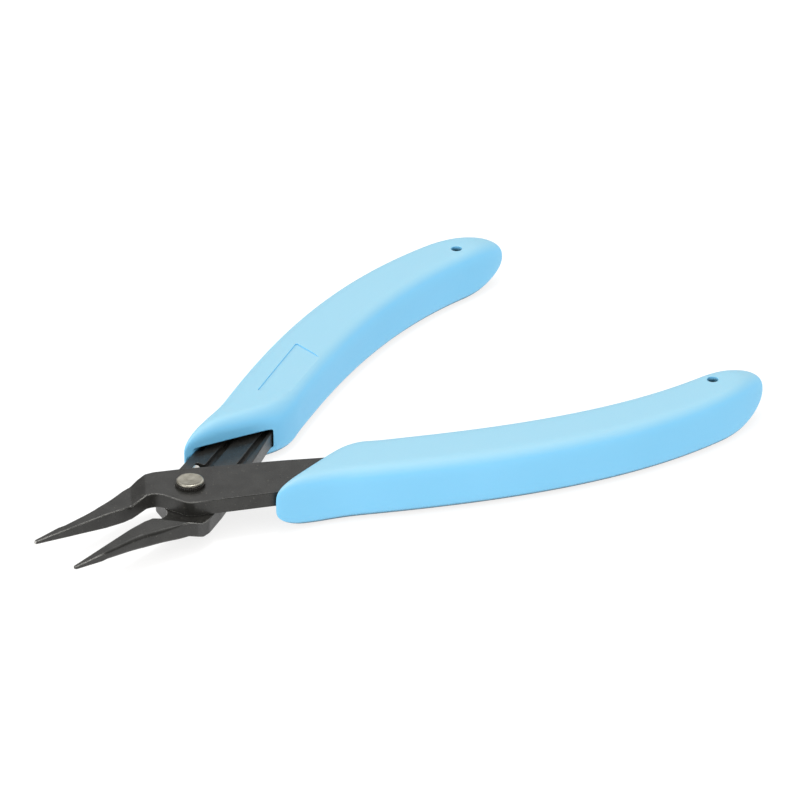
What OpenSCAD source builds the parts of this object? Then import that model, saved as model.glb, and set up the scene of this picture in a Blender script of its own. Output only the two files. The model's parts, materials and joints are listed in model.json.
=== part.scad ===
// Needle-nose hobby pliers: two flat steel halves on one rivet, a wire return
// spring between them and a moulded grip on each tang.
// Every shape is drawn in a half frame: the closed tool lies along X with the
// pivot at the origin, the jaw points to -X, the tang to +X and the half's own
// handle side is +Y. Z = 0 there is the face on which the halves slide.

/* [Opening] */
// Angle between the two halves at rest, degrees
open_angle = 20.4; // [16:0.2:24]

/* [Steel halves] */
// Thickness of the steel plate
plate_t = 3.0; // [2.6:0.1:3.4]
// Distance from the pivot to the jaw tip
jaw_len = 32.5; // [28:0.5:36]
// Height of the jaw at its tip
tip_h = 0.64; // [0.5:0.02:1]
// Width of one jaw at its tip
tip_w = 0.6; // [0.4:0.05:0.8]
// Gap left at the root of each jaw when the tips meet
root_gap = 0.7; // [0.3:0.1:1]
// Depth of the channel in the sliding face
channel_d = 0.85; // [0.8:0.05:1]

/* [Rivet] */
// Radius of the rivet's shank
shank_r = 2.0; // [1.8:0.1:2.2]
// Running clearance around the shank
shank_gap = 0.04; // [0.02:0.01:0.08]
// Radius of the rivet's heads
head_r = 2.6; // [2.4:0.05:3]
// Thickness of a rivet head
head_t = 0.5; // [0.45:0.05:0.8]
// Thickness of a washer
washer_t = 0.65; // [0.4:0.05:0.8]
// How far a washer stands out beyond the rivet's head
washer_rim = 0.25; // [0.1:0.05:0.5]

/* [Return spring] */
// Diameter of the spring wire
wire_d = 1.5; // [1.2:0.05:1.55]
// Radius of the bend around the pivot, to the wire's centre
bend_r = 3.0; // [2.95:0.05:3.05]

/* [Grips] */
// Half the thickness of a grip, between its two flat broad faces
grip_h = 5.4; // [5.2:0.05:5.8]
// Half the width of a grip at its mouth
grip_w = 6.8; // [6.4:0.1:7.2]
// Radius of the hanging hole
hole_r = 1.1; // [0.8:0.1:1.5]

/* [Hidden] */
$fn = 48;
half_open = open_angle / 2;
// The pivot's place in the part's frame, whose origin is the bottom centre.
pivot_x = -40.11;
pivot_z = grip_h;
big = 60;
eps = 0.01;

steel = [0.27, 0.27, 0.26];
bright = [0.72, 0.71, 0.66];
dark = [0.12, 0.12, 0.12];
blue = [0.60, 0.85, 0.96];

// ---------- outline helpers ----------

// Unit vector from p to q.
function unit(p, q) = (q - p) / norm(q - p);
// Interior angle at b between a and c.
function corner_angle(a, b, c) = acos(unit(b, a) * unit(b, c));
// Points of the arc that rounds corner b with radius r.
function corner_arc(a, b, c, r, steps) =
    let (half = corner_angle(a, b, c) / 2,
         mid = unit([0, 0], unit(b, a) + unit(b, c)),
         centre = b + mid * r / sin(half),
         start = b + unit(b, a) * r / tan(half) - centre,
         stop = b + unit(b, c) * r / tan(half) - centre,
         a0 = atan2(start[1], start[0]),
         turn = atan2(start[0] * stop[1] - start[1] * stop[0], start * stop))
    [for (i = [0 : steps]) centre + r * [cos(a0 + turn * i / steps), sin(a0 + turn * i / steps)]];
// A closed outline from corners [x, y, radius]; radius 0 keeps the corner sharp.
function rounded(corners, steps = 6) =
    let (n = len(corners))
    [for (i = [0 : n - 1])
        let (a = corners[(i + n - 1) % n], b = corners[i], c = corners[(i + 1) % n])
        each b[2] == 0
            ? [[b[0], b[1]]]
            : corner_arc([a[0], a[1]], [b[0], b[1]], [c[0], c[1]], b[2], steps)];

// ---------- grip centreline ----------

grip_x0 = 19.6;
grip_x1 = 117.1;
function along(x) = (x - grip_x0) / (grip_x1 - grip_x0);
// Height of the grip's centreline above the closed tool's axis.
function centre_y(x) = let (s = along(x)) 5.3 + 37.7 * s - 5.7 * s * s - 20.1 * pow(s, 3);
function centre_slope(x) = (centre_y(x + 0.1) - centre_y(x - 0.1)) / 0.2;
// A point beside the centreline, at a distance measured square to it.
function beside(x, off) =
    let (m = centre_slope(x)) [x - off * m / sqrt(1 + m * m), centre_y(x) + off / sqrt(1 + m * m)];

// ---------- steel half ----------

joggle_dir = 26.6;     // direction across the joggle, from the +X axis
joggle_start = -8.4;   // distance of the joggle's start from the pivot
joggle_end = -11.2;    // distance of its end
taper_x = -17.5;       // where the jaw starts to thin towards its tip
tang_x0 = 31;
tang_x1 = 88;
tang_steps = 8;
bore_r = shank_r + shank_gap;

function tang_half(x) = 4.1 - 1.5 * (x - tang_x0) / (tang_x1 - tang_x0);
tang_xs = [for (i = [0 : tang_steps]) tang_x0 + (tang_x1 - tang_x0) * i / tang_steps];

// Corners of the half from the jaw's gripping face round by the handle side.
arm_corners = concat(
    [[-jaw_len, 0, 0],
     [-12.3, -root_gap, 0.8],
     [-6.7, -0.55, 2.7],
     [-3.58, 5.98, 2.8],
     [14.6, 11.35, 0.4],
     [15.4, 10.5, 0]],
    [for (x = tang_xs) let (p = beside(x, tang_half(x))) [p[0], p[1], x == tang_x1 ? 1.5 : 0]],
    [for (i = [tang_steps : -1 : 0])
        let (x = tang_xs[i], p = beside(x, -tang_half(x))) [p[0], p[1], i == tang_steps ? 1.5 : 0]],
    [[26.5, 3.6, 0],
     [20, 0.85, 0],
     [1.8, -6.1, 3],
     [-3.7, -7.85, 3],
     [-7.1, -7.95, 2],
     [-11, -6.75, 6],
     [-19, -3.55, 30],
     [-jaw_len, -tip_w, 0.3]]);

module arm_outline() {
    polygon(rounded(arm_corners));
}

// Solid between the arm's two faces: the plate steps up by half its thickness
// at the joggle, so that both jaws lie on the sliding plane.
module arm_profile() {
    half_t = plate_t / 2;
    rotate([0, 0, joggle_dir])
        rotate([90, 0, 0])
            linear_extrude(2 * big, center = true)
                polygon([[-big, half_t], [joggle_end, half_t], [joggle_start, 0], [2 * big, 0],
                         [2 * big, -plate_t], [joggle_start, -plate_t], [joggle_end, -half_t],
                         [-big, -half_t]]);
}

// Wedge that thins the jaw towards its tip.
module jaw_taper() {
    half_tip = tip_h / 2;
    rotate([90, 0, 0])
        linear_extrude(2 * big, center = true)
            polygon([[-jaw_len - 1, half_tip], [-jaw_len, half_tip], [taper_x, plate_t / 2], [taper_x, big],
                     [2 * big, big], [2 * big, -big], [taper_x, -big], [taper_x, -plate_t / 2],
                     [-jaw_len, -half_tip], [-jaw_len - 1, -half_tip]]);
}

// Two grooves along the sliding face with a land between them, joined near the
// pivot into one recess for the spring's leg.
rib_end_x = 11.3;    // where the far groove turns aside for the leg
land_x = 12.3;       // where the land begins
channel_outline = [[6.4, -1.0], [16.3, 0.75], [27.6, 4.75], [34, 7.3], [33.5, 8.5], [27.1, 6.0],
                   [15.9, 2.0], [land_x, 1.1], [land_x, 5.1], [20.5, 7.8], [34.4, 12.4],
                   [34, 13.8], [20, 9.2], [rib_end_x, 6.3], [rib_end_x, 8.35], [-1.3, 3.65],
                   [-0.7, 2.15], [4.9, 4.05]];

module channel() {
    translate([0, 0, -channel_d])
        linear_extrude(1)
            polygon(channel_outline);
}

// Round recess for the spring's bend, opened to the jaw-side edge by a fan in
// which the leg of the other half can swing.
recess_gap = 0.1;        // clearance beside the wire
exit_fan = [[0, 0], [-2.85, -2.59], [3.21, -9.25], [9.9, -9.25], [9.87, -5.31], [-0.64, -2.05]];

module spring_recess() {
    translate([0, 0, -channel_d]) {
        cylinder(h = 1, r = bend_r + wire_d / 2 + recess_gap);
        linear_extrude(1) polygon(exit_fan);
    }
}

module half_arm() {
    difference() {
        intersection() {
            translate([0, 0, -plate_t - 1])
                linear_extrude(2 * plate_t + 2)
                    arm_outline();
            arm_profile();
            jaw_taper();
        }
        channel();
        spring_recess();
        translate([0, 0, -plate_t - 1]) cylinder(h = plate_t + 2, r = bore_r);
    }
}

// ---------- grip ----------

ring_points = 32;
grip_stations = 36;
nose_out = 10.0;     // where the mouth's plane meets the grip's handle side
nose_in = 29.9;      // where it meets the other side
lip_len = 5;         // length over which the mouth's rim is rounded
lip_w = 1.8;         // how far the rim is rounded back in width
lip_r = 2.9;         // the same in height, on the panel's side
lip_low_r = 2.0;     // and on the other side
tail_w = 12.2;       // length over which the tail closes in width
tail_h = 9;          // the same, in height
square_power = 0.5;  // 2 / 4: a section is a superellipse of the fourth power
tail_power = 0.9;    // nearly an ellipse at the tail
nose_power = 0.7;    // rounder at the mouth, on the panel's side
nose_low_power = 0.3;  // squarer there on the other side, to cover the tang
nose_len = 9;        // length over which the mouth's section changes
crown = 0.12;        // height of the section's crown that the flat faces cut off
level_x = 28;        // in front of this the grip levels out towards its nose
level_rate = 0.010;

function spine_y(x) =
    let (d = level_x - x)
    d <= 0 ? centre_y(x) : centre_y(level_x) - centre_slope(level_x) * d + level_rate * d * d;
function spine_slope(x) = (spine_y(x + 0.1) - spine_y(x - 0.1)) / 0.2;
function smooth(t) = let (c = min(1, max(0, t))) c * c * (3 - 2 * c);
// Half width of the grip, and what its handle side adds near the nose.
function wide(x) = let (s = max(0, along(x))) grip_w + 0.06 * s - 0.43 * s * s - 1.8 * pow(s, 3);
function bulge(x) = 0.6 * (1 - smooth((x - 16) / 14));
// Part of full size left at a distance d from an end that closes over length r.
function closing(d, r) = d >= r ? 1 : sqrt(max(0, 1 - pow(1 - d / r, 2)));
function edge_point(x, off) =
    let (m = spine_slope(x), k = 1 / sqrt(1 + m * m)) [x - off * m * k, spine_y(x) + off * k];
function signed_pow(v, p) = sign(v) * pow(abs(v), p);

// One section of the grip: t runs from the oblique mouth (0) to the tail (1).
function grip_ring(t) =
    let (x_out = nose_out + (grip_x1 - nose_out) * t,
         x_in = nose_in + (grip_x1 - nose_in) * t,
         left = min(grip_x1 - x_out, grip_x1 - x_in),
         opening = 1 - closing(x_in - nose_in, lip_len),
         outer = edge_point(x_out, (wide(x_out) + bulge(x_out)) * closing(left, tail_w)),
         inner = edge_point(x_in, -wide(x_in) * closing(left, tail_w)),
         middle = (outer + inner) / 2,
         reach = norm(outer - inner) / 2,
         side = (outer - inner) / (2 * reach),
         to_tail = (tail_power - square_power) * (1 - smooth(left / tail_w)),
         to_nose = 1 - smooth((x_in - nose_in) / nose_len),
         w = reach - lip_w * opening,
         full = (grip_h + crown) * closing(left, tail_h))
    [for (i = [0 : ring_points - 1])
        let (a = 360 * i / ring_points,
             h = full - (a < 180 ? lip_r : lip_low_r) * opening,
             at_nose = (a < 180 ? nose_power : nose_low_power) - square_power,
             power = square_power + to_tail + at_nose * to_nose,
             p = middle + side * w * signed_pow(cos(a), power))
        [p[0], p[1], h * signed_pow(sin(a), power)]];

module grip_loft() {
    n = ring_points;
    ts = [for (i = [0 : grip_stations]) 0.9995 * (1 - cos(180 * i / grip_stations)) / 2];
    points = [for (t = ts) each grip_ring(t)];
    sides = [for (j = [0 : grip_stations - 1]) for (i = [0 : n - 1])
        [j * n + i, (j + 1) * n + i, (j + 1) * n + (i + 1) % n, j * n + (i + 1) % n]];
    front = [for (i = [0 : n - 1]) i];
    back = [for (i = [n - 1 : -1 : 0]) grip_stations * n + i];
    polyhedron(points, concat(sides, [front, back]), convexity = 6);
}

pocket_gap = 0.05;
mouth_relief = 1.0;   // extra height of the pocket at its mouth
relief_x = 34;        // where that extra height ends
hole_x = 104.7;
hole_y = 19.1;
panel_corners = [[33.4, 11.45, 0.4], [52.3, 17.75, 0.4], [50.9, 10.4, 0.4], [36.9, 6.4, 0.4]];
panel_d = 0.3;

// Room for the steel tang, a little higher at the mouth.
module tang_pocket() {
    inside = rounded([for (c = arm_corners) if (c[0] > -6) c]);
    translate([0, 0, -plate_t - pocket_gap])
        linear_extrude(plate_t + 2 * pocket_gap) polygon(inside);
    intersection() {
        linear_extrude(mouth_relief) polygon(inside);
        cube([relief_x, big, big]);
    }
}

// Shallow blank panel in one broad face.
module panel() {
    translate([0, 0, grip_h - panel_d])
        linear_extrude(2)
            polygon(rounded(panel_corners, 3));
}

module grip() {
    difference() {
        intersection() {
            grip_loft();
            cube([4 * big, 4 * big, 2 * grip_h], center = true);
        }
        tang_pocket();
        panel();
        translate([hole_x, hole_y, -big]) cylinder(h = 2 * big, r = hole_r);
    }
}

// ---------- placing ----------

module at_pivot() {
    translate([pivot_x, 0, pivot_z]) children();
}
module lower_half() {
    at_pivot() rotate([0, 0, half_open]) children();
}
module upper_half() {
    at_pivot() rotate([0, 0, -half_open]) rotate([180, 0, 0]) children();
}

module lower_arm() {
    color(steel) lower_half() half_arm();
}
module upper_arm() {
    color(steel) upper_half() half_arm();
}
module far_grip() {
    color(blue) lower_half() grip();
}
module near_grip() {
    color(blue) upper_half() grip();
}

// Shank and both heads turned from one profile; each head is rounded and
// slightly dished in the middle.
module pivot_rivet() {
    seat = plate_t + washer_t;
    top = seat + head_t;
    rim = 0.35;
    dish = 0.12;
    half_profile = concat(
        [[0, 0], [shank_r, 0], [shank_r, seat], [head_r, seat]],
        [for (i = [0 : 4]) [head_r - rim + rim * cos(22.5 * i), top - rim + rim * sin(22.5 * i)]],
        [[1.2, top - dish / 2], [0, top - dish]]);
    color(bright)
        at_pivot()
            for (flip = [0, 180]) rotate([flip, 0, 0]) rotate_extrude() polygon(half_profile);
}

module washer() {
    difference() {
        cylinder(h = washer_t, r = head_r + washer_rim);
        translate([0, 0, -1]) cylinder(h = 3, r = bore_r);
    }
}
module upper_washer() {
    color(dark) at_pivot() translate([0, 0, plate_t]) washer();
}
module lower_washer() {
    color(dark) at_pivot() translate([0, 0, -plate_t - washer_t]) washer();
}

// Hairpin: a bend around the jaw side of the pivot and one leg along each arm.
leg_angle = 20.2;  // slope of a leg in its own half
leg_end_x = 9.5;
overlap = 0.1;   // a leg starts this much inside the bend
leg_slack = 0.02;  // and is this much thinner, so that it starts cleanly inside
module wire_leg(side) {
    tangent = 90 + leg_angle + half_open;
    leg_len = (leg_end_x - bend_r * cos(90 + leg_angle)) / cos(leg_angle);
    mirror([0, side, 0])
        rotate([0, 0, tangent])
            translate([bend_r, overlap, 0])
                rotate([90, 0, 0])
                    cylinder(h = leg_len + overlap, d = wire_d - leg_slack);
}
module return_spring() {
    bend_from = 90 + leg_angle + half_open;
    color(bright)
        at_pivot() {
            rotate([0, 0, bend_from])
                rotate_extrude(angle = 360 - 2 * bend_from)
                    translate([bend_r, 0]) circle(d = wire_d);
            wire_leg(0);
            wire_leg(1);
        }
}

lower_arm();
upper_arm();
pivot_rivet();
upper_washer();
lower_washer();
return_spring();
far_grip();
near_grip();
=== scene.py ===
import json
import math

import bmesh
import bpy
from mathutils import Matrix, Vector


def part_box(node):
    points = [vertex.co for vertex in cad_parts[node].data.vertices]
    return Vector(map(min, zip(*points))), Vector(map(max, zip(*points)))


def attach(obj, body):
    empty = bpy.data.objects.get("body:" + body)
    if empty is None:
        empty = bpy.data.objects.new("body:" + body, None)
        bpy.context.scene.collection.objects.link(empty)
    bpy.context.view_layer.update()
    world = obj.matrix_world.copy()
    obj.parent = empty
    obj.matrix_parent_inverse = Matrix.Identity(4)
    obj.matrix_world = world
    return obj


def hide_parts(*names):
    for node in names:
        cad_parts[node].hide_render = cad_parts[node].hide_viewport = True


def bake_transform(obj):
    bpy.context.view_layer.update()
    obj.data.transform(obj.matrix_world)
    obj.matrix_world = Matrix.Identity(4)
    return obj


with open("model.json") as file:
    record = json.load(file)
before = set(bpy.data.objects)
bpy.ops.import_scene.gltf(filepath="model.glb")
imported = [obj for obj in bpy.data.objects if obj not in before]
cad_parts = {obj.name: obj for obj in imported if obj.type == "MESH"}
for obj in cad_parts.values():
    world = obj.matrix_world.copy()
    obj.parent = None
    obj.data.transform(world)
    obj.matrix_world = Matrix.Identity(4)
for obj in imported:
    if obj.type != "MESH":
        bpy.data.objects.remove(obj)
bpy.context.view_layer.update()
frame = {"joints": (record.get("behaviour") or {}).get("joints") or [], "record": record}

# Needle-nose hobby pliers: moulded grips, black steel halves, rivet, washers and spring.
# Shapes are built in millimetres in a half frame: the closed tool lies along X with the
# pivot at the origin, the jaw points to -X, the half's own handle side is +Y and Z = 0 is
# the sliding face. LOWER and UPPER carry that frame to the two halves of the open tool.

record = frame["record"]
MM = 0.001


# ---------- places read from the frame ----------

def mount_place(name):
    return Vector(next(m["pos_m"] for m in record["mounts"] if m["name"] == name))


def size_mm(node):
    low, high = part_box(node)
    return (high - low) / MM


HOLE_AT = Vector((104.7, 19.1))     # hanging hole in the half frame
PIVOT = Vector(frame["joints"][0]["pos_m"])
hole_arm = mount_place("far_hanging_hole") - PIVOT
HALF_OPEN = math.atan2(hole_arm.y, hole_arm.x) - math.atan2(HOLE_AT.y, HOLE_AT.x)
HOLE_R = next(m["dims"]["r_mm"] for m in record["mounts"] if m["name"] == "far_hanging_hole")
GRIP_H = size_mm("far_grip").z / 2
HEAD_R = size_mm("pivot_rivet").x / 2
HEAD_TOP = size_mm("pivot_rivet").z / 2
WASHER_R = size_mm("upper_washer").x / 2
WASHER_T = size_mm("upper_washer").z
WIRE_R = size_mm("return_spring").z / 2
PLATE_T = 3.0

OPEN_TURN = Matrix.Rotation(HALF_OPEN, 4, "Z")
AT_PIVOT = Matrix.Translation(PIVOT)
LOWER = AT_PIVOT @ OPEN_TURN @ Matrix.Scale(MM, 4)
UPPER = AT_PIVOT @ OPEN_TURN.inverted() @ Matrix.Rotation(math.pi, 4, "X") @ Matrix.Scale(MM, 4)
MIDDLE = AT_PIVOT @ Matrix.Scale(MM, 4)


# ---------- mesh helpers ----------

def smooth_step(t):
    t = min(1.0, max(0.0, t))
    return t * t * (3 - 2 * t)


def signed_pow(v, p):
    return math.copysign(abs(v) ** p, v)


def arc_corner(a, b, c, r, steps):
    """Points of the arc of radius r that rounds the corner b of the path a, b, c."""
    to_a, to_c = (a - b).normalized(), (c - b).normalized()
    half = to_a.angle(to_c) / 2
    centre = b + (to_a + to_c).normalized() * (r / math.sin(half))
    start = b + to_a * (r / math.tan(half)) - centre
    stop = b + to_c * (r / math.tan(half)) - centre
    turn = math.atan2(start.x * stop.y - start.y * stop.x, start.dot(stop))
    first = math.atan2(start.y, start.x)
    angles = [first + turn * i / steps for i in range(steps + 1)]
    return [centre + r * Vector((math.cos(t), math.sin(t))) for t in angles]


def rounded(corners, steps):
    """A closed outline from corners (x, y, radius); radius 0 keeps the corner sharp."""
    points = []
    for i, (x, y, r) in enumerate(corners):
        before, after = corners[i - 1], corners[(i + 1) % len(corners)]
        b = Vector((x, y))
        if r == 0:
            points.append(b)
        else:
            points += arc_corner(Vector(before[:2]), b, Vector(after[:2]), r, steps)
    return points


def split_long(points, longest):
    """The same closed outline with no edge longer than the given length."""
    dense = []
    for i, p in enumerate(points):
        q = points[(i + 1) % len(points)]
        parts = max(1, math.ceil((q - p).length / longest))
        dense += [p.lerp(q, k / parts) for k in range(parts)]
    return dense


RIM_TURNS = [math.radians(a) for a in (30, 60, 85)]   # where a rounded rim is sampled


def rim_points(rim, top, turns):
    """(outward step, height) along a rim rounded with radius rim up to the face at top."""
    return [(rim * (1 - math.cos(t)), top - rim * (1 - math.sin(t))) for t in turns]


def inward_normals(points):
    """Mitred inward normal at each point of a closed outline."""
    area = sum(p.x * q.y - q.x * p.y for p, q in zip(points, points[1:] + points[:1]))
    sign = 1 if area > 0 else -1
    normals = []
    for i, p in enumerate(points):
        back = (p - points[i - 1]).normalized()
        ahead = (points[(i + 1) % len(points)] - p).normalized()
        n = Vector((-back.y, back.x)) + Vector((-ahead.y, ahead.x))
        n.normalize()
        stretch = max(0.5, n.dot(Vector((-ahead.y, ahead.x))))
        normals.append(n * sign / stretch)
    return normals


def bridge(bm, rings, closed_ends=True):
    """Faces between successive rings of vertices, all with the same count."""
    count = len(rings[0])
    for near, far in zip(rings, rings[1:]):
        for i in range(count):
            j = (i + 1) % count
            bm.faces.new((near[i], near[j], far[j], far[i]))
    if closed_ends:
        bm.faces.new(reversed(rings[0]))
        bm.faces.new(rings[-1])


def ring_of(bm, points):
    return [bm.verts.new(p) for p in points]


def solid(rings):
    """A bmesh lofted through rings of points."""
    bm = bmesh.new()
    bridge(bm, [ring_of(bm, ring) for ring in rings])
    bmesh.ops.recalc_face_normals(bm, faces=bm.faces)
    return bm


def lathe(profile, steps):
    """A closed solid turned about Z from (radius, z) points; a radius of 0 is a pole."""
    bm = bmesh.new()
    rings = []
    for r, z in profile:
        if r == 0:
            rings.append([bm.verts.new((0, 0, z))])
        else:
            angles = [2 * math.pi * i / steps for i in range(steps)]
            rings.append([bm.verts.new((r * math.cos(t), r * math.sin(t), z)) for t in angles])
    for near, far in zip(rings, rings[1:]):
        for i in range(steps):
            j = (i + 1) % steps
            corners = [near[i % len(near)], near[j % len(near)], far[j % len(far)], far[i % len(far)]]
            unique = list(dict.fromkeys(corners))
            if len(unique) > 2:
                bm.faces.new(unique)
    bmesh.ops.recalc_face_normals(bm, faces=bm.faces)
    return bm


def add_object(name, bm):
    mesh = bpy.data.meshes.new(name)
    bm.to_mesh(mesh)
    bm.free()
    obj = bpy.data.objects.new(name, mesh)
    bpy.context.scene.collection.objects.link(obj)
    return obj


def cut(obj, cutters):
    """Takes the cutters' volumes out of obj and removes the cutters."""
    for cutter in cutters:
        modifier = obj.modifiers.new("cut", "BOOLEAN")
        modifier.operation = "DIFFERENCE"
        modifier.solver = "EXACT"
        modifier.object = cutter
    bake_modifiers(obj)
    for cutter in cutters:
        bpy.data.objects.remove(cutter)


def bake_modifiers(obj):
    evaluated = obj.evaluated_get(bpy.context.evaluated_depsgraph_get())
    mesh = bpy.data.meshes.new_from_object(evaluated)
    obj.modifiers.clear()
    old = obj.data
    obj.data = mesh
    bpy.data.meshes.remove(old)
    mesh.name = obj.name


SHARP_ANGLE = math.radians(32)      # edges sharper than this stay sharp in the shading
ROUND_STEPS = 96                    # facets around the rivet and its bore


def finish_piece(obj, matrix, body, material, nodes=()):
    """Puts a piece made in millimetres in its place, shades it and hands it to its body."""
    obj.data.transform(matrix)
    obj.data.materials.clear()
    obj.data.materials.append(material)
    obj.data.shade_smooth()
    obj.data.set_sharp_from_angle(angle=SHARP_ANGLE)
    weighted = obj.modifiers.new("weighted", "WEIGHTED_NORMAL")
    weighted.keep_sharp = True
    if nodes:
        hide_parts(*nodes)
    if body:
        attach(obj, body)
    return obj


# ---------- material helpers ----------

def new_material(name):
    material = bpy.data.materials.new(name)
    material.use_nodes = True
    tree = material.node_tree
    shader = tree.nodes["Principled BSDF"]
    return material, tree, shader


def noise(tree, coords, scale, detail=3.0, stretch=(1, 1, 1)):
    mapping = tree.nodes.new("ShaderNodeMapping")
    mapping.inputs["Scale"].default_value = stretch
    node = tree.nodes.new("ShaderNodeTexNoise")
    node.inputs["Scale"].default_value = scale
    node.inputs["Detail"].default_value = detail
    tree.links.new(coords, mapping.inputs["Vector"])
    tree.links.new(mapping.outputs["Vector"], node.inputs["Vector"])
    return node.outputs["Fac"]


def ramp(tree, value, stops):
    """Colour ramp over value; stops are (position, colour)."""
    node = tree.nodes.new("ShaderNodeValToRGB")
    elements = node.color_ramp.elements
    while len(elements) < len(stops):
        elements.new(0.5)
    for element, (place, colour) in zip(elements, stops):
        element.position = place
        element.color = (*colour, 1)
    tree.links.new(value, node.inputs["Fac"])
    return node.outputs["Color"]


def remap(tree, value, low, high, to_low, to_high):
    node = tree.nodes.new("ShaderNodeMapRange")
    for key, number in (("From Min", low), ("From Max", high), ("To Min", to_low), ("To Max", to_high)):
        node.inputs[key].default_value = number
    tree.links.new(value, node.inputs["Value"])
    return node.outputs["Result"]


def mix_colour(tree, factor, a, b):
    node = tree.nodes.new("ShaderNodeMix")
    node.data_type = "RGBA"
    for socket, value in (("Factor", factor), ("A", a), ("B", b)):
        target = [s for s in node.inputs if s.name == socket and s.type in ("RGBA", "VALUE")]
        target = target[0] if socket == "Factor" else [s for s in target if s.type == "RGBA"][0]
        if isinstance(value, (int, float)):
            target.default_value = value
        elif isinstance(value, tuple):
            target.default_value = (*value, 1)
        else:
            tree.links.new(value, target)
    return [s for s in node.outputs if s.type == "RGBA"][0]


def add_bump(tree, shader, height, strength, distance):
    node = tree.nodes.new("ShaderNodeBump")
    node.inputs["Strength"].default_value = strength
    node.inputs["Distance"].default_value = distance
    tree.links.new(height, node.inputs["Height"])
    tree.links.new(node.outputs["Normal"], shader.inputs["Normal"])


def object_coords(tree):
    return tree.nodes.new("ShaderNodeTexCoord").outputs["Object"]


def math_node(tree, operation, a, b):
    node = tree.nodes.new("ShaderNodeMath")
    node.operation = operation
    for socket, value in zip(node.inputs, (a, b)):
        if isinstance(value, (int, float)):
            socket.default_value = value
        else:
            tree.links.new(value, socket)
    return node.outputs[0]


def blend_values(tree, factor, a, b):
    node = tree.nodes.new("ShaderNodeMix")
    for socket, value in zip(node.inputs, (factor, None, a, b)):
        if isinstance(value, (int, float)):
            socket.default_value = value
        elif value is not None:
            tree.links.new(value, socket)
    return node.outputs[0]


def edge_highlight_mask(tree, reach):
    """1 on edges, 0 on faces; reach is the width of the painted highlight band, in metres."""
    bevel = tree.nodes.new("ShaderNodeBevel")
    bevel.samples = 6
    bevel.inputs["Radius"].default_value = reach
    true_normal = tree.nodes.new("ShaderNodeNewGeometry").outputs["True Normal"]
    dot = tree.nodes.new("ShaderNodeVectorMath")
    dot.operation = "DOT_PRODUCT"
    tree.links.new(bevel.outputs["Normal"], dot.inputs[0])
    tree.links.new(true_normal, dot.inputs[1])
    return remap(tree, dot.outputs["Value"], 0.86, 0.985, 1.0, 0.0)


# ---------- materials ----------

def enclosed(tree, distance, openness):
    """1 where less than the lower open share of the view is free within distance, else 0."""
    node = tree.nodes.new("ShaderNodeAmbientOcclusion")
    node.samples = 8
    node.inputs["Distance"].default_value = distance
    return remap(tree, node.outputs["AO"], *openness, 1.0, 0.0)


def facing_up(tree):
    """The upward share of the face's direction, -1 to 1."""
    split = tree.nodes.new("ShaderNodeSeparateXYZ")
    tree.links.new(tree.nodes.new("ShaderNodeNewGeometry").outputs["Normal"], split.inputs["Vector"])
    return split.outputs["Z"]


SLOT_SHADE = (0.0014, (0.15, 0.60))  # painted shade in corners and slots: distance in metres, and open shares
# painted shade, near black, inside the tang's pocket: distance in metres, and open shares
POCKET_SHADE = (0.007, (0.22, 0.36))
PAINTED_GLOW, PAINTED_GLOW_COLOUR = 0.18, (0.13, 0.58, 0.95)   # painted glow: the moulding emits light by itself outside its pocket, as fill on its dim faces


def grip_plastic():
    """Soft sky-blue moulding with painted light: paler where it faces up to the top light, painted shade
    in its corners and pocket, and a painted glow.
    """
    material, tree, shader = new_material("grip_plastic")
    coords = object_coords(tree)
    cloudy = noise(tree, coords, 45.0, 3.0)
    tone = ramp(tree, cloudy, [(0.3, (0.163, 0.425, 0.615)), (0.7, (0.176, 0.441, 0.635))])
    # Painted light: faces turned up towards the top light are painted a paler, greyer blue.
    top_light_paint = remap(tree, facing_up(tree), 0.40, 0.95, 0.0, 1.0)
    top_lit_tone = mix_colour(tree, top_light_paint, tone, (0.255, 0.437, 0.515))
    # Painted shade: enclosed corners and slots are painted a deeper blue.
    corner_shaded = mix_colour(tree, enclosed(tree, *SLOT_SHADE), top_lit_tone, (0.045, 0.330, 0.640))
    # Painted shade: the inside of the tang's pocket is painted near black.
    pocket = mix_colour(tree, enclosed(tree, *POCKET_SHADE), corner_shaded, (0.002, 0.004, 0.006))
    tree.links.new(pocket, shader.inputs["Base Color"])
    # Painted light: the moulding glows by itself everywhere except inside its pocket.
    glow_outside_pocket = mix_colour(tree, enclosed(tree, *POCKET_SHADE), PAINTED_GLOW_COLOUR, (0, 0, 0))
    tree.links.new(glow_outside_pocket, shader.inputs["Emission Color"])
    shader.inputs["Emission Strength"].default_value = PAINTED_GLOW
    grain = noise(tree, coords, 2600.0, 2.0)
    tree.links.new(remap(tree, grain, 0.3, 0.7, 0.52, 0.62), shader.inputs["Roughness"])
    add_bump(tree, shader, grain, 0.12, 0.00004)
    shader.inputs["Subsurface Weight"].default_value = 0.15
    shader.inputs["Subsurface Radius"].default_value = (0.3, 0.8, 1.0)
    shader.inputs["Subsurface Scale"].default_value = 0.0012
    return material


HIGHLIGHT_REACH = 0.0003                 # width of the painted edge highlight band, in metres
HIGHLIGHT_ENDS = (-3.5, -0.5)            # the painted edge highlight fades out over this stretch of X, in mm


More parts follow.
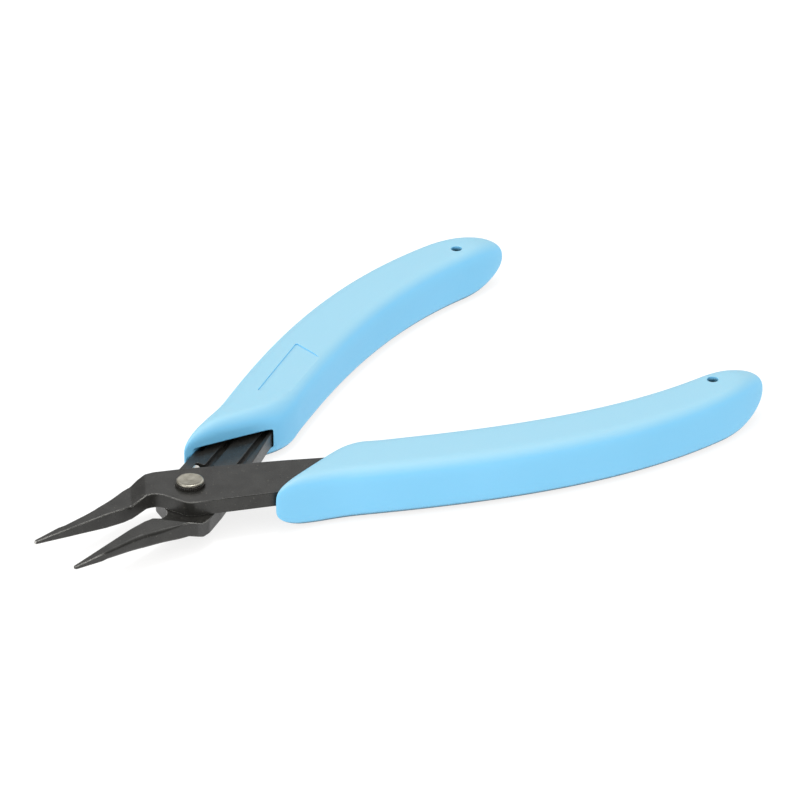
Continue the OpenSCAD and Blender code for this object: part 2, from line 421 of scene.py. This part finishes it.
def blackened_steel():
    """Oil-blackened steel: dark and satin, mottled, with specks; the jaws' edges carry a painted
    highlight.
    """
    material, tree, shader = new_material("blackened_steel")
    coords = object_coords(tree)
    patches = noise(tree, coords, 330.0, 5.0)
    base = ramp(tree, patches, [(0.30, (0.011, 0.0105, 0.009)), (0.70, (0.024, 0.0235, 0.021))])
    specks = noise(tree, coords, 2300.0, 1.0)
    speckled = mix_colour(tree, remap(tree, specks, 0.70, 0.80, 0.0, 0.35), base, (0.24, 0.23, 0.19))
    patchy = remap(tree, noise(tree, coords, 150.0, 5.0), 0.40, 0.54, 0.15, 1.0)
    split = tree.nodes.new("ShaderNodeSeparateXYZ")
    tree.links.new(coords, split.inputs["Vector"])
    highlight_ends = [PIVOT.x + x * MM for x in HIGHLIGHT_ENDS]
    jaw_end = remap(tree, split.outputs["X"], *highlight_ends, 1.0, 0.0)
    highlight_share = math_node(tree, "MULTIPLY", patchy, jaw_end)
    # Painted highlight: the jaws' rounded edges are painted nearly white, in patches.
    painted_edge_highlight = math_node(tree, "MULTIPLY", edge_highlight_mask(tree, HIGHLIGHT_REACH), highlight_share)
    highlighted_base = mix_colour(tree, painted_edge_highlight, speckled, (0.80, 0.79, 0.74))
    tree.links.new(highlighted_base, shader.inputs["Base Color"])
    shader.inputs["IOR"].default_value = 1.5
    grain = noise(tree, coords, 3800.0, 3.0)
    tree.links.new(remap(tree, grain, 0.3, 0.7, 0.26, 0.40), shader.inputs["Roughness"])
    add_bump(tree, shader, grain, 0.5, 0.00003)
    return material


def rivet_steel():
    """Dull bright steel with brown stains and a brushed grain."""
    material, tree, shader = new_material("rivet_steel")
    coords = object_coords(tree)
    stains = noise(tree, coords, 700.0, 4.0)
    base = ramp(tree, stains, [(0.3, (0.34, 0.32, 0.26)), (0.7, (0.52, 0.50, 0.43))])
    tree.links.new(base, shader.inputs["Base Color"])
    shader.inputs["Metallic"].default_value = 1.0
    brushed = noise(tree, coords, 900.0, 3.0, stretch=(1, 9, 1))
    tree.links.new(remap(tree, brushed, 0.3, 0.7, 0.26, 0.40), shader.inputs["Roughness"])
    add_bump(tree, shader, brushed, 0.3, 0.00003)
    return material


def washer_steel():
    """Black steel, patchy and fairly glossy."""
    material, tree, shader = new_material("washer_steel")
    coords = object_coords(tree)
    patches = noise(tree, coords, 900.0, 3.0)
    base = ramp(tree, patches, [(0.3, (0.010, 0.009, 0.008)), (0.75, (0.035, 0.033, 0.029))])
    tree.links.new(base, shader.inputs["Base Color"])
    tree.links.new(remap(tree, patches, 0.3, 0.7, 0.18, 0.34), shader.inputs["Roughness"])
    add_bump(tree, shader, patches, 0.3, 0.00003)
    return material


def spring_steel():
    """Bright drawn wire."""
    material, tree, shader = new_material("spring_steel")
    coords = object_coords(tree)
    drawn = noise(tree, coords, 1200.0, 2.0, stretch=(0.3, 1, 3))
    base = ramp(tree, drawn, [(0.3, (0.58, 0.56, 0.52)), (0.7, (0.76, 0.75, 0.71))])
    tree.links.new(base, shader.inputs["Base Color"])
    shader.inputs["Metallic"].default_value = 1.0
    tree.links.new(remap(tree, drawn, 0.3, 0.7, 0.24, 0.36), shader.inputs["Roughness"])
    add_bump(tree, shader, drawn, 0.15, 0.00002)
    return material


FLOOR_GLOW = 0.80                   # share of the floor's white that no shadow can take away


def floor_white():
    """Paper white; most of it glows, so that the shadow stays faint."""
    material, tree, shader = new_material("floor_white")
    coords = object_coords(tree)
    paper = noise(tree, coords, 90.0, 2.0)
    tone = ramp(tree, paper, [(0.3, (0.25, 0.25, 0.25)), (0.7, (0.27, 0.27, 0.27))])
    tree.links.new(tone, shader.inputs["Base Color"])
    shader.inputs["Roughness"].default_value = 0.9
    shader.inputs["Specular IOR Level"].default_value = 0.0
    shader.inputs["Emission Color"].default_value = (1.0, 0.995, 0.99, 1)
    shader.inputs["Emission Strength"].default_value = FLOOR_GLOW
    return material


# ---------- grip ----------

GRIP_X0, GRIP_X1 = 19.6, 117.1
NOSE_OUT, NOSE_IN = 10.15, 29.9      # where the mouth's plane meets the grip's two sides
LIP_LEN = 5.0                       # length over which the mouth's rim is rounded
LIP_W = 2.3                         # how far the rim is rounded back in width
LIP_R = 2.9                         # the same in height, on the panel's side
LIP_LOW_R = 2.0                     # and on the other side
TAIL_W, TAIL_H = 12.2, 9.0          # lengths over which the tail closes
SQUARE_POWER = 0.5                  # a section is a superellipse of the fourth power
NOSE_POWER = 0.7                    # rounder at the mouth, on the panel's side
NOSE_LOW_POWER = 0.4                # squarer there on the other side, to cover the tang
NOSE_LEN = 9.0                      # length over which the mouth's section changes
TAIL_POWER = 0.9                    # nearly an ellipse at the tail
CROWN = 0.12                        # height of the section's crown that the flat faces cut off
LEVEL_X, LEVEL_RATE = 28.0, 0.010   # where the nose leaves the middle line, and how fast
GRIP_W = 6.8                        # half width near the mouth
BULGE, BULGE_FROM, BULGE_LEN = 0.5, 16, 14
RING = 96                           # points around a section
STATIONS = 120                      # sections along the grip
TAIL_END = 0.9995                   # share of the length at which the tail's cap closes
FLAT_BLEND = 14.0                   # how sharply a section turns into its flat faces, 1/mm


def along(x):
    return (x - GRIP_X0) / (GRIP_X1 - GRIP_X0)


def centre_y(x):
    """Middle line of the handle."""
    s = along(x)
    return 5.3 + 37.7 * s - 5.7 * s * s - 20.1 * s ** 3


def slope_of(f, x):
    step = 0.1
    return (f(x + step) - f(x - step)) / (2 * step)


def spine_y(x):
    """The middle line, straightened and slightly raised in front of LEVEL_X."""
    d = LEVEL_X - x
    if d <= 0:
        return centre_y(x)
    return centre_y(LEVEL_X) - slope_of(centre_y, LEVEL_X) * d + LEVEL_RATE * d * d


def beside(f, x, off):
    """A point beside the curve y = f(x), at a distance measured square to it."""
    m = slope_of(f, x)
    k = 1 / math.sqrt(1 + m * m)
    return Vector((x - off * m * k, f(x) + off * k))


def grip_wide(x):
    s = max(0.0, along(x))
    return GRIP_W + 0.06 * s - 0.43 * s * s - 1.8 * s ** 3


def grip_bulge(x):
    """Extra width on the handle side that fades out behind the mouth."""
    return BULGE * (1 - smooth_step((x - BULGE_FROM) / BULGE_LEN))


def closing(d, r):
    return 1.0 if d >= r else math.sqrt(max(0.0, 1 - (1 - d / r) ** 2))


def soft_min(a, b):
    low = min(a, b)
    return low - math.log(math.exp((low - a) * FLAT_BLEND) + math.exp((low - b) * FLAT_BLEND)) / FLAT_BLEND


def grip_section(t):
    """Middle, side direction, half width, and height and power of both halves at t."""
    x_out = NOSE_OUT + (GRIP_X1 - NOSE_OUT) * t
    x_in = NOSE_IN + (GRIP_X1 - NOSE_IN) * t
    left = min(GRIP_X1 - x_out, GRIP_X1 - x_in)
    opening = 1 - closing(x_in - NOSE_IN, LIP_LEN)
    outer = beside(spine_y, x_out, (grip_wide(x_out) + grip_bulge(x_out)) * closing(left, TAIL_W))
    inner = beside(spine_y, x_in, -grip_wide(x_in) * closing(left, TAIL_W))
    reach = (outer - inner).length / 2
    side = (outer - inner) / (2 * reach)
    full = (GRIP_H + CROWN) * closing(left, TAIL_H)
    power = SQUARE_POWER + (TAIL_POWER - SQUARE_POWER) * (1 - smooth_step(left / TAIL_W))
    to_nose = 1 - smooth_step((x_in - NOSE_IN) / NOSE_LEN)
    upper = (full - LIP_R * opening, power + (NOSE_POWER - SQUARE_POWER) * to_nose)
    lower = (full - LIP_LOW_R * opening, power + (NOSE_LOW_POWER - SQUARE_POWER) * to_nose)
    return (outer + inner) / 2, side, reach - LIP_W * opening, upper, lower


def turns():
    return [2 * math.pi * i / RING for i in range(RING)]


def skin_ring(t):
    middle, side, w, upper, lower = grip_section(t)
    points = []
    for a in turns():
        height, power = upper if math.sin(a) > 0 else lower
        p = middle + side * w * signed_pow(math.cos(a), power)
        tall = soft_min(height * abs(math.sin(a)) ** power, GRIP_H)
        points.append(Vector((p.x, p.y, math.copysign(tall, math.sin(a)))))
    return points


POCKET_POWER = 0.16                 # nearly a rectangle
POCKET_TURN = math.radians(17)      # the tang's direction at the mouth
RIM_R = 0.3                         # rounding of the pocket's rim
POCKET_LOW, POCKET_HIGH = -PLATE_T - 0.1, 1.0
POCKET_OUT, POCKET_IN = 8.65, -8.45   # the tang's two sides on the mouth's plane
TANG_X0, TANG_X1 = 31.0, 88.0
TANG_GAP = 0.08
TANG_STATIONS = (TANG_X1 + 0.3, 80.0, 70.0, 60.0, 52.0, 44.0, 38.0)   # rings along the tang


def tang_half(x):
    return 4.1 - 1.5 * (x - TANG_X0) / (TANG_X1 - TANG_X0)


def box_ring(middle, side, u_range, z_range, grow=0.0):
    """A rounded rectangle in the upright plane through middle along side."""
    uc, uh = sum(u_range) / 2, (u_range[1] - u_range[0]) / 2 + grow
    zc, zh = sum(z_range) / 2, (z_range[1] - z_range[0]) / 2 + grow
    points = []
    for a in turns():
        p = middle + side * (uc + uh * signed_pow(math.cos(a), POCKET_POWER))
        points.append(Vector((p.x, p.y, zc + zh * signed_pow(math.sin(a), POCKET_POWER))))
    return points


def pocket_rings():
    """Rings of the tang's pocket from its blind end out to the mouth's front face."""
    rings = []
    tang_z = (-PLATE_T - TANG_GAP, TANG_GAP)
    for x in TANG_STATIONS:
        m = slope_of(centre_y, x)
        side = Vector((-m, 1)).normalized()
        half = tang_half(x) + TANG_GAP
        rings.append(box_ring(Vector((x, centre_y(x))), side, (-half, half), tang_z))
    middle, side = grip_section(0)[:2]
    inward = Vector((math.cos(POCKET_TURN), math.sin(POCKET_TURN)))
    u_range, z_range = (POCKET_IN, POCKET_OUT), (POCKET_LOW, POCKET_HIGH)
    for depth in (5.0, 3.0, 1.2, RIM_R):
        rings.append(box_ring(middle + inward * depth, side, u_range, z_range))
    for i in range(1, 5):
        turn = math.radians(22.5 * i)
        depth = RIM_R * (1 - math.sin(turn))
        grow = RIM_R * (1 - math.cos(turn))
        rings.append(box_ring(middle + inward * depth, side, u_range, z_range, grow))
    return rings


def grip_loft():
    rings = pocket_rings()
    ends_dense = [(1 - math.cos(math.pi * i / STATIONS)) / 2 for i in range(STATIONS + 1)]
    rings += [skin_ring(TAIL_END * t) for t in ends_dense]
    return solid(rings)


PANEL_CORNERS = [(32.9, 11.4, 0.25), (52.6, 18.1, 0.25), (50.9, 9.9, 0.25), (36.9, 6.4, 0.25)]
PANEL_D = 0.3
CUT_RIM = 0.12                      # rounding of a cut's rim
CUT_OVERSHOOT = 0.07                # how far a cutter runs on beyond the face
CORNER_STEPS, HOLE_STEPS = 5, 64


def prism_cutter(name, corners, floor_z, top_z):
    """Cutter that sinks an outline to floor_z and flares where it leaves the face at top_z."""
    points = rounded(corners, CORNER_STEPS)
    normals = inward_normals(points)
    levels = [(0.0, floor_z)] + rim_points(CUT_RIM, top_z, [0.0] + RIM_TURNS)
    levels.append((CUT_RIM + CUT_OVERSHOOT, top_z + CUT_OVERSHOOT))
    rings = [[Vector((p.x - n.x * out, p.y - n.y * out, z)) for p, n in zip(points, normals)]
             for out, z in levels]
    return add_object(name, solid(rings))


def hole_cutter():
    """Cutter for the hanging hole, flared at both faces."""
    half = [(HOLE_R, 0.0), (HOLE_R, GRIP_H - CUT_RIM)]
    half += [(HOLE_R + out, z) for out, z in rim_points(CUT_RIM, GRIP_H, RIM_TURNS)]
    half.append((HOLE_R + 1.4 * CUT_RIM, GRIP_H + 0.5 * CUT_RIM))
    profile = [(0, -half[-1][1])] + [(r, -z) for r, z in reversed(half[1:])] + half + [(0, half[-1][1])]
    cutter = add_object("hole_cutter", lathe(profile, HOLE_STEPS))
    cutter.data.transform(Matrix.Translation((HOLE_AT.x, HOLE_AT.y, 0)))
    return cutter


def build_grip(name, node, matrix, body, material):
    grip = add_object(name, grip_loft())
    cut(grip, [prism_cutter("panel_cutter", PANEL_CORNERS, GRIP_H - PANEL_D, GRIP_H), hole_cutter()])
    return finish_piece(grip, matrix, body, material, [node])


# ---------- steel half ----------

JAW_LEN = 32.5
TIP_HALF = 0.32
JOGGLE_DIR = math.radians(26.6)
JOGGLE_START, JOGGLE_END = -8.4, -11.2
BEND_HALF = 0.22                    # half the length over which each bend turns
TAPER_X = -17.5
EDGE_R = 0.16                       # rounding of the plate's edges
JAW_EDGE_R = 0.90                   # rounding of a jaw's outer edges at the jaw's root
JAW_ROOT_X, JAW_GROWN = -9.0, 6.0   # where that rounding starts, and how far it takes to grow
THIN_X = -20.0                      # the other edges' rounding shrinks from here to the tip
EDGE_STEPS = 5
ARC_STEPS, LONGEST_EDGE = 12, 1.5   # fineness of the arm's outline
TANG_END_R, TANG_PARTS = 1.5, 12
BORE_R = 2.04                       # runs on the rivet's shank
GROOVE_D = 0.85                     # depth of the grooves and of the spring's recess


def arm_corners():
    tang = []
    for i in range(TANG_PARTS + 1):
        x = TANG_X0 + (TANG_X1 - TANG_X0) * i / TANG_PARTS
        tang.append((x, TANG_END_R if x == TANG_X1 else 0))
    outer = [(*beside(centre_y, x, tang_half(x)), r) for x, r in tang]
    inner = [(*beside(centre_y, x, -tang_half(x)), r) for x, r in reversed(tang)]
    jaw_side = [(-JAW_LEN, 0, 0), (-12.3, -0.7, 0.8), (-6.7, -0.55, 2.7), (-3.58, 5.98, 2.8)]
    notch = [(14.6, 11.35, 0.4), (15.4, 10.5, 0)]
    back = [(26.5, 3.6, 0), (20, 0.85, 0), (1.8, -6.1, 3), (-3.7, -7.85, 3), (-7.1, -7.95, 2)]
    jaw_back = [(-11, -6.75, 6), (-19, -3.55, 30), (-JAW_LEN, -0.6, 0.3)]
    return jaw_side + notch + outer + inner + back + jaw_back


def edge_radius(p):
    """Rounding of the edge at a point of the outline: large on the back of the jaw."""
    if p.x > JAW_ROOT_X or p.y > -0.25 + 0.11 * (p.x - JAW_ROOT_X):
        return EDGE_R if p.x > THIN_X else EDGE_R * (0.6 + 0.4 * (p.x + JAW_LEN) / (THIN_X + JAW_LEN))
    grown = smooth_step((JAW_ROOT_X - p.x) / JAW_GROWN)
    tip = min(1.0, 0.30 + 0.70 * (p.x + JAW_LEN) / 14)
    return (EDGE_R + (JAW_EDGE_R - EDGE_R) * grown) * tip


def soft_clamp(t, soft):
    """t held to 0..1 with the two corners rounded over a distance soft."""
    def corner(v):
        if v <= -soft:
            return 0.0
        return v if v >= soft else (v + soft) ** 2 / (4 * soft)
    return corner(t) - corner(t - 1)


def mid_height(x, y):
    """Height of the plate's middle: it steps up by half the plate at the joggle."""
    u = x * math.cos(JOGGLE_DIR) + y * math.sin(JOGGLE_DIR)
    span = JOGGLE_START - JOGGLE_END
    return -PLATE_T / 2 * soft_clamp((u - JOGGLE_END) / span, BEND_HALF / span)


def half_thickness(x):
    slope = (PLATE_T / 2 - TIP_HALF) / (TAPER_X + JAW_LEN)
    return min(PLATE_T / 2, TIP_HALF + slope * (x + JAW_LEN))


CAP_Z = 10.0    # while flat, a vertex's height is +-(CAP_Z - its drop below the face)


def flat_plate():
    """The arm's outline as a flat plate with rounded edges, its drops kept in z."""
    points = split_long(rounded(arm_corners(), ARC_STEPS), LONGEST_EDGE)
    normals = inward_normals(points)
    radii = [edge_radius(p) for p in points]
    rings = []
    for sign in (-1, 1):
        steps = range(EDGE_STEPS + 1) if sign < 0 else range(EDGE_STEPS, -1, -1)
        for k in steps:
            turn = math.pi / 2 * k / EDGE_STEPS
            ring = []
            for p, n, r in zip(points, normals, radii):
                inset, drop = r * (1 - math.sin(turn)), r * (1 - math.cos(turn))
                ring.append(Vector((p.x + n.x * inset, p.y + n.y * inset, sign * (CAP_Z - drop))))
            rings.append(ring)
    return solid(rings)


def slice_at(bm, point, normal):
    bmesh.ops.bisect_plane(bm, geom=bm.verts[:] + bm.edges[:] + bm.faces[:], plane_co=point,
                           plane_no=normal, dist=1e-5)


def arm_bmesh():
    bm = flat_plate()
    across = Vector((math.cos(JOGGLE_DIR), math.sin(JOGGLE_DIR), 0))
    for centre in (JOGGLE_START, JOGGLE_END):
        for k in (-1, -0.5, 0, 0.5, 1):
            slice_at(bm, across * (centre + BEND_HALF * k), across)
    slice_at(bm, Vector((TAPER_X, 0, 0)), Vector((1, 0, 0)))
    for v in bm.verts:
        sign = 1 if v.co.z > 0 else -1
        drop = CAP_Z - abs(v.co.z)
        v.co.z = mid_height(v.co.x, v.co.y) + sign * (half_thickness(v.co.x) - drop)
    bmesh.ops.recalc_face_normals(bm, faces=bm.faces)
    return bm


# Two grooves in the sliding face with a land between them, joined near the pivot (x, y, radius)
GROOVES = [(6.4, -1.0, 0), (16.3, 0.75, 0), (27.6, 4.75, 0), (34, 7.3, 0), (33.5, 8.5, 0), (27.1, 6.0, 0),
           (15.9, 2.0, 0), (12.3, 1.1, 0), (12.3, 5.1, 0), (20.5, 7.8, 0), (34.4, 12.4, 0), (34, 13.8, 0),
           (20, 9.2, 0), (11.3, 6.3, 0.4), (11.3, 8.35, 0.5), (-1.3, 3.65, 0), (-0.7, 2.15, 0),
           (4.9, 4.05, 0)]
BEND_R = 3.0
RECESS_GAP = 0.1                    # clearance beside the spring's wire
RECESS_STEPS = 72
ABOVE = 0.5                         # height of the spring's cutters above the sliding face
EXIT_FAN = [(0, 0), (-2.85, -2.59), (3.21, -9.25), (9.9, -9.25), (9.87, -5.31), (-0.64, -2.05)]


def bore_cutter():
    profile = [(0, -PLATE_T - 1), (BORE_R, -PLATE_T - 1), (BORE_R, 1), (0, 1)]
    return add_object("bore_cutter", lathe(profile, ROUND_STEPS))


def recess_cutter():
    """Round recess for the spring's bend."""
    r = BEND_R + WIRE_R + RECESS_GAP
    profile = [(0, -GROOVE_D), (r, -GROOVE_D), (r, ABOVE), (0, ABOVE)]
    return add_object("recess_cutter", lathe(profile, RECESS_STEPS))


def fan_cutter():
    """Fan through which the leg of the other half swings."""
    rings = [[Vector((x, y, z)) for x, y in EXIT_FAN] for z in (-GROOVE_D, ABOVE)]
    return add_object("fan_cutter", solid(rings))


def build_arm(name, node, matrix, body, material):
    arm = add_object(name, arm_bmesh())
    grooves = prism_cutter("groove_cutter", GROOVES, -GROOVE_D, 0.0)
    cut(arm, [grooves, recess_cutter(), fan_cutter(), bore_cutter()])
    return finish_piece(arm, matrix, body, material, [node])


# ---------- rivet, washers and spring ----------

SHANK_R = 2.0
DISH = 0.13                         # depth of the head's hollow
HEAD_RIM = 0.34                     # rounding of the head's rim
SEAT_CHAMFER = 0.08                 # chamfer under the head


def build_rivet(material):
    seat = PLATE_T + WASHER_T
    half = [(SHANK_R, 0.0), (SHANK_R, seat), (HEAD_R - SEAT_CHAMFER, seat), (HEAD_R, seat + SEAT_CHAMFER)]
    flat_r, shoulder_z = HEAD_R - HEAD_RIM, HEAD_TOP - HEAD_RIM
    for a in range(0, 91, 10):
        t = math.radians(a)
        half.append((flat_r + HEAD_RIM * math.cos(t), shoulder_z + HEAD_RIM * math.sin(t)))
    hollow = [(flat_r - 0.12, 0.015), (flat_r - 0.3, 0.05), (1.5, 0.07), (0.75, 0.08), (0.5, 0.10),
              (0.25, DISH), (0, DISH)]
    half += [(r, HEAD_TOP - drop) for r, drop in hollow]
    profile = [(r, -z) for r, z in reversed(half[1:])] + half
    rivet = add_object("rivet", lathe(profile, ROUND_STEPS))
    return finish_piece(rivet, MIDDLE, "lower_half", material, ["pivot_rivet"])


KNURL_TEETH = 44                    # around a washer's rim
KNURL_D = 0.11                      # depth of the knurling
WASHER_CHAMFER = 0.08


def build_washer(name, node, sign, material):
    """Ring with a finely knurled rim, from PLATE_T outwards."""
    steps = KNURL_TEETH * 6
    edge = WASHER_CHAMFER
    low, high = PLATE_T, PLATE_T + WASHER_T
    section = [(BORE_R, low, 0), (WASHER_R - edge, low, 0), (WASHER_R, low + edge, 1),
               (WASHER_R, high - edge, 1), (WASHER_R - edge, high, 0), (BORE_R, high, 0)]
    bm = bmesh.new()
    columns = []
    for i in range(steps):
        t = 2 * math.pi * i / steps
        tooth = abs(math.sin(KNURL_TEETH * t / 2)) ** 0.7
        column = []
        for r, z, knurled in section:
            out = r - knurled * KNURL_D * (1 - tooth)
            column.append(bm.verts.new((out * math.cos(t), out * math.sin(t), sign * z)))
        columns.append(column)
    for i in range(steps):
        a, b = columns[i], columns[(i + 1) % steps]
        for k in range(len(section)):
            m = (k + 1) % len(section)
            bm.faces.new((a[k], b[k], b[m], a[m]))
    bmesh.ops.recalc_face_normals(bm, faces=bm.faces)
    washer = add_object(name, bm)
    return finish_piece(washer, MIDDLE, "lower_half", material, [node])


LEG_ANGLE = math.radians(20.2)
LEG_END_X = 9.5
LEG_PARTS, BEND_PARTS = 14, 48      # straight pieces per leg and around the bend


def spring_path():
    """Centre line of the hairpin in the frame of the open tool, from leg to leg."""
    tangent = math.pi / 2 + LEG_ANGLE + HALF_OPEN
    leg_len = (LEG_END_X - BEND_R * math.cos(math.pi / 2 + LEG_ANGLE)) / math.cos(LEG_ANGLE)
    start = BEND_R * Vector((math.cos(tangent), math.sin(tangent)))
    along_leg = Vector((math.sin(tangent), -math.cos(tangent)))
    leg = [start + along_leg * leg_len * (1 - k / LEG_PARTS) for k in range(LEG_PARTS)]
    turn = 2 * math.pi - 2 * tangent
    bend = [tangent + turn * i / BEND_PARTS for i in range(BEND_PARTS + 1)]
    arc = [BEND_R * Vector((math.cos(t), math.sin(t))) for t in bend]
    return leg + arc + [Vector((p.x, -p.y)) for p in reversed(leg)]


WIRE_SIDES = 24
WIRE_BEVEL = 0.12                   # rounding of the wire's cut ends


def wire_rings(path):
    """Rings of a round wire along a flat path, with rounded-off ends."""
    stations = []
    for i, p in enumerate(path):
        ahead = path[min(i + 1, len(path) - 1)] - path[max(i - 1, 0)]
        stations.append((p, ahead.normalized(), 1.0))
    first, first_dir = stations[0][:2]
    last, last_dir = stations[-1][:2]
    stations[0] = (first + first_dir * WIRE_BEVEL, first_dir, 1.0)
    stations[-1] = (last - last_dir * WIRE_BEVEL, last_dir, 1.0)
    end_share = 1 - WIRE_BEVEL / WIRE_R
    stations = [(first, first_dir, end_share)] + stations + [(last, last_dir, end_share)]
    rings = []
    for p, ahead, share in stations:
        side = Vector((-ahead.y, ahead.x))
        ring = []
        for k in range(WIRE_SIDES):
            t = 2 * math.pi * k / WIRE_SIDES
            q = p + side * WIRE_R * share * math.cos(t)
            ring.append(Vector((q.x, q.y, WIRE_R * share * math.sin(t))))
        rings.append(ring)
    return rings


def build_spring(material):
    spring = add_object("spring", solid(wire_rings(spring_path())))
    finish_piece(spring, MIDDLE, None, material, ["return_spring"])
    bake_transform(spring)
    return spring


# ---------- stage ----------

CAMERA_MM = 891.1       # distance along the view axis
VIEW_TURN = math.radians(-41.01)
VIEW_TILT = math.radians(28.46)
AIM_RIGHT, AIM_UP = 39.2, 18.45   # the aim's offset from the pivot, in mm
LENS = 214.2


def build_camera():
    away = Vector((math.sin(VIEW_TURN) * math.cos(VIEW_TILT), -math.cos(VIEW_TURN) * math.cos(VIEW_TILT),
                   math.sin(VIEW_TILT)))
    right = Vector((math.cos(VIEW_TURN), math.sin(VIEW_TURN), 0))
    up = away.cross(right)
    camera = bpy.data.objects.new("camera", bpy.data.cameras.new("camera"))
    camera.data.lens = LENS
    camera.data.sensor_width = 36.0
    camera.data.clip_start = 0.01
    place = PIVOT + (away * CAMERA_MM + right * AIM_RIGHT + up * AIM_UP) * MM
    turn = Matrix((right, up, away)).transposed().to_4x4()
    camera.matrix_world = Matrix.Translation(place) @ turn
    bpy.context.scene.collection.objects.link(camera)
    bpy.context.scene.camera = camera


def area_light(name, place, target, size, power, colour=(1, 1, 1)):
    data = bpy.data.lights.new(name, "AREA")
    data.shape = "RECTANGLE"
    data.size, data.size_y = size
    data.energy = power
    data.color = colour
    light = bpy.data.objects.new(name, data)
    light.location = place
    light.rotation_euler = (Vector(target) - Vector(place)).to_track_quat("-Z", "Y").to_euler()
    bpy.context.scene.collection.objects.link(light)


TOP_LAMP_W, LEFT_LAMP_W = 2.5, 1.6


def build_lights():
    area_light("top_box", (0.02, 0.05, 0.90), (0, 0, 0), (0.18, 0.18), TOP_LAMP_W)
    area_light("left_box", (-0.80, 0.05, 0.42), (0, 0, 0), (0.5, 0.4), LEFT_LAMP_W)


# The studio around the tool. The flat faces mirror the backdrop, faces that lean away from
# the camera mirror the dark strip at its foot, and rounded edges mirror the panel overhead.
# The camera's own side lights the soft faces, but the steel mirrors it as nearly black.
BACK_TURN = math.radians(49.0)      # direction of the backdrop, from +X
BACK_FOOT, BACK_LEVEL = 0.12, 0.80
FRONT_LEVEL, FRONT_MIRRORED = 1.15, 0.08
LEFT_LEVEL, RIGHT_LEVEL, TOP_LEVEL = 0.60, 0.35, 1.00
ZENITH_MIRRORED = 2.0               # the bright panel overhead that rounded edges mirror
# Bands of a direction's share along one axis, over which one level turns into the next:
# towards the backdrop, along X, and upright.
BACK_BAND, LEFT_BAND, RIGHT_BAND = (0.0, 0.4), (-0.9, -0.5), (0.5, 0.9)
FOOT_BAND, TOP_BAND, ZENITH_BAND = (0.30, 0.42), (0.60, 0.95), (0.95, 0.97)


def build_world():
    world = bpy.data.worlds.new("studio")
    bpy.context.scene.world = world
    world.use_nodes = True
    tree = world.node_tree
    direction = tree.nodes.new("ShaderNodeTexCoord").outputs["Generated"]
    split = tree.nodes.new("ShaderNodeSeparateXYZ")
    tree.links.new(direction, split.inputs["Vector"])
    x, y, z = split.outputs["X"], split.outputs["Y"], split.outputs["Z"]
    along_x = math_node(tree, "MULTIPLY", x, math.cos(BACK_TURN))
    along_y = math_node(tree, "MULTIPLY", y, math.sin(BACK_TURN))
    towards_back = math_node(tree, "ADD", along_x, along_y)
    mirrored = tree.nodes.new("ShaderNodeLightPath").outputs["Is Glossy Ray"]
    front = blend_values(tree, mirrored, FRONT_LEVEL, FRONT_MIRRORED)
    backdrop = remap(tree, z, *FOOT_BAND, BACK_FOOT, BACK_LEVEL)
    side = remap(tree, towards_back, *BACK_BAND, 0.0, 1.0)
    around = blend_values(tree, side, front, backdrop)
    left = remap(tree, x, *LEFT_BAND, LEFT_LEVEL, 0.0)
    right = remap(tree, x, *RIGHT_BAND, 0.0, RIGHT_LEVEL)
    filled = math_node(tree, "ADD", around, math_node(tree, "ADD", left, right))
    overhead = blend_values(tree, remap(tree, z, *TOP_BAND, 0.0, 1.0), filled, TOP_LEVEL)
    zenith = math_node(tree, "MULTIPLY", remap(tree, z, *ZENITH_BAND, 0.0, 1.0), mirrored)
    glow = blend_values(tree, zenith, overhead, ZENITH_MIRRORED)
    tree.nodes["Background"].inputs["Color"].default_value = (1, 1, 1, 1)
    tree.links.new(glow, tree.nodes["Background"].inputs["Strength"])


FLOOR_Z = -0.00002                  # just below the grips' flat undersides


def build_floor():
    bm = bmesh.new()
    bmesh.ops.create_grid(bm, x_segments=8, y_segments=8, size=3.0)
    floor = add_object("floor", bm)
    floor.location.z = FLOOR_Z
    floor.data.materials.append(floor_white())


# ---------- assembly ----------

def build_object():
    plastic, steel = grip_plastic(), blackened_steel()
    build_grip("far_grip_moulding", "far_grip", LOWER, "lower_half", plastic)
    build_grip("near_grip_moulding", "near_grip", UPPER, "upper_half", plastic)
    build_arm("lower_arm_steel", "lower_arm", LOWER, "lower_half", steel)
    build_arm("upper_arm_steel", "upper_arm", UPPER, "upper_half", steel)
    build_rivet(rivet_steel())
    washer_finish = washer_steel()
    build_washer("upper_washer_ring", "upper_washer", 1, washer_finish)
    build_washer("lower_washer_ring", "lower_washer", -1, washer_finish)
    build_spring(spring_steel())


build_object()
build_floor()
build_lights()
build_world()
build_camera()
bpy.context.scene.view_settings.view_transform = "Standard"
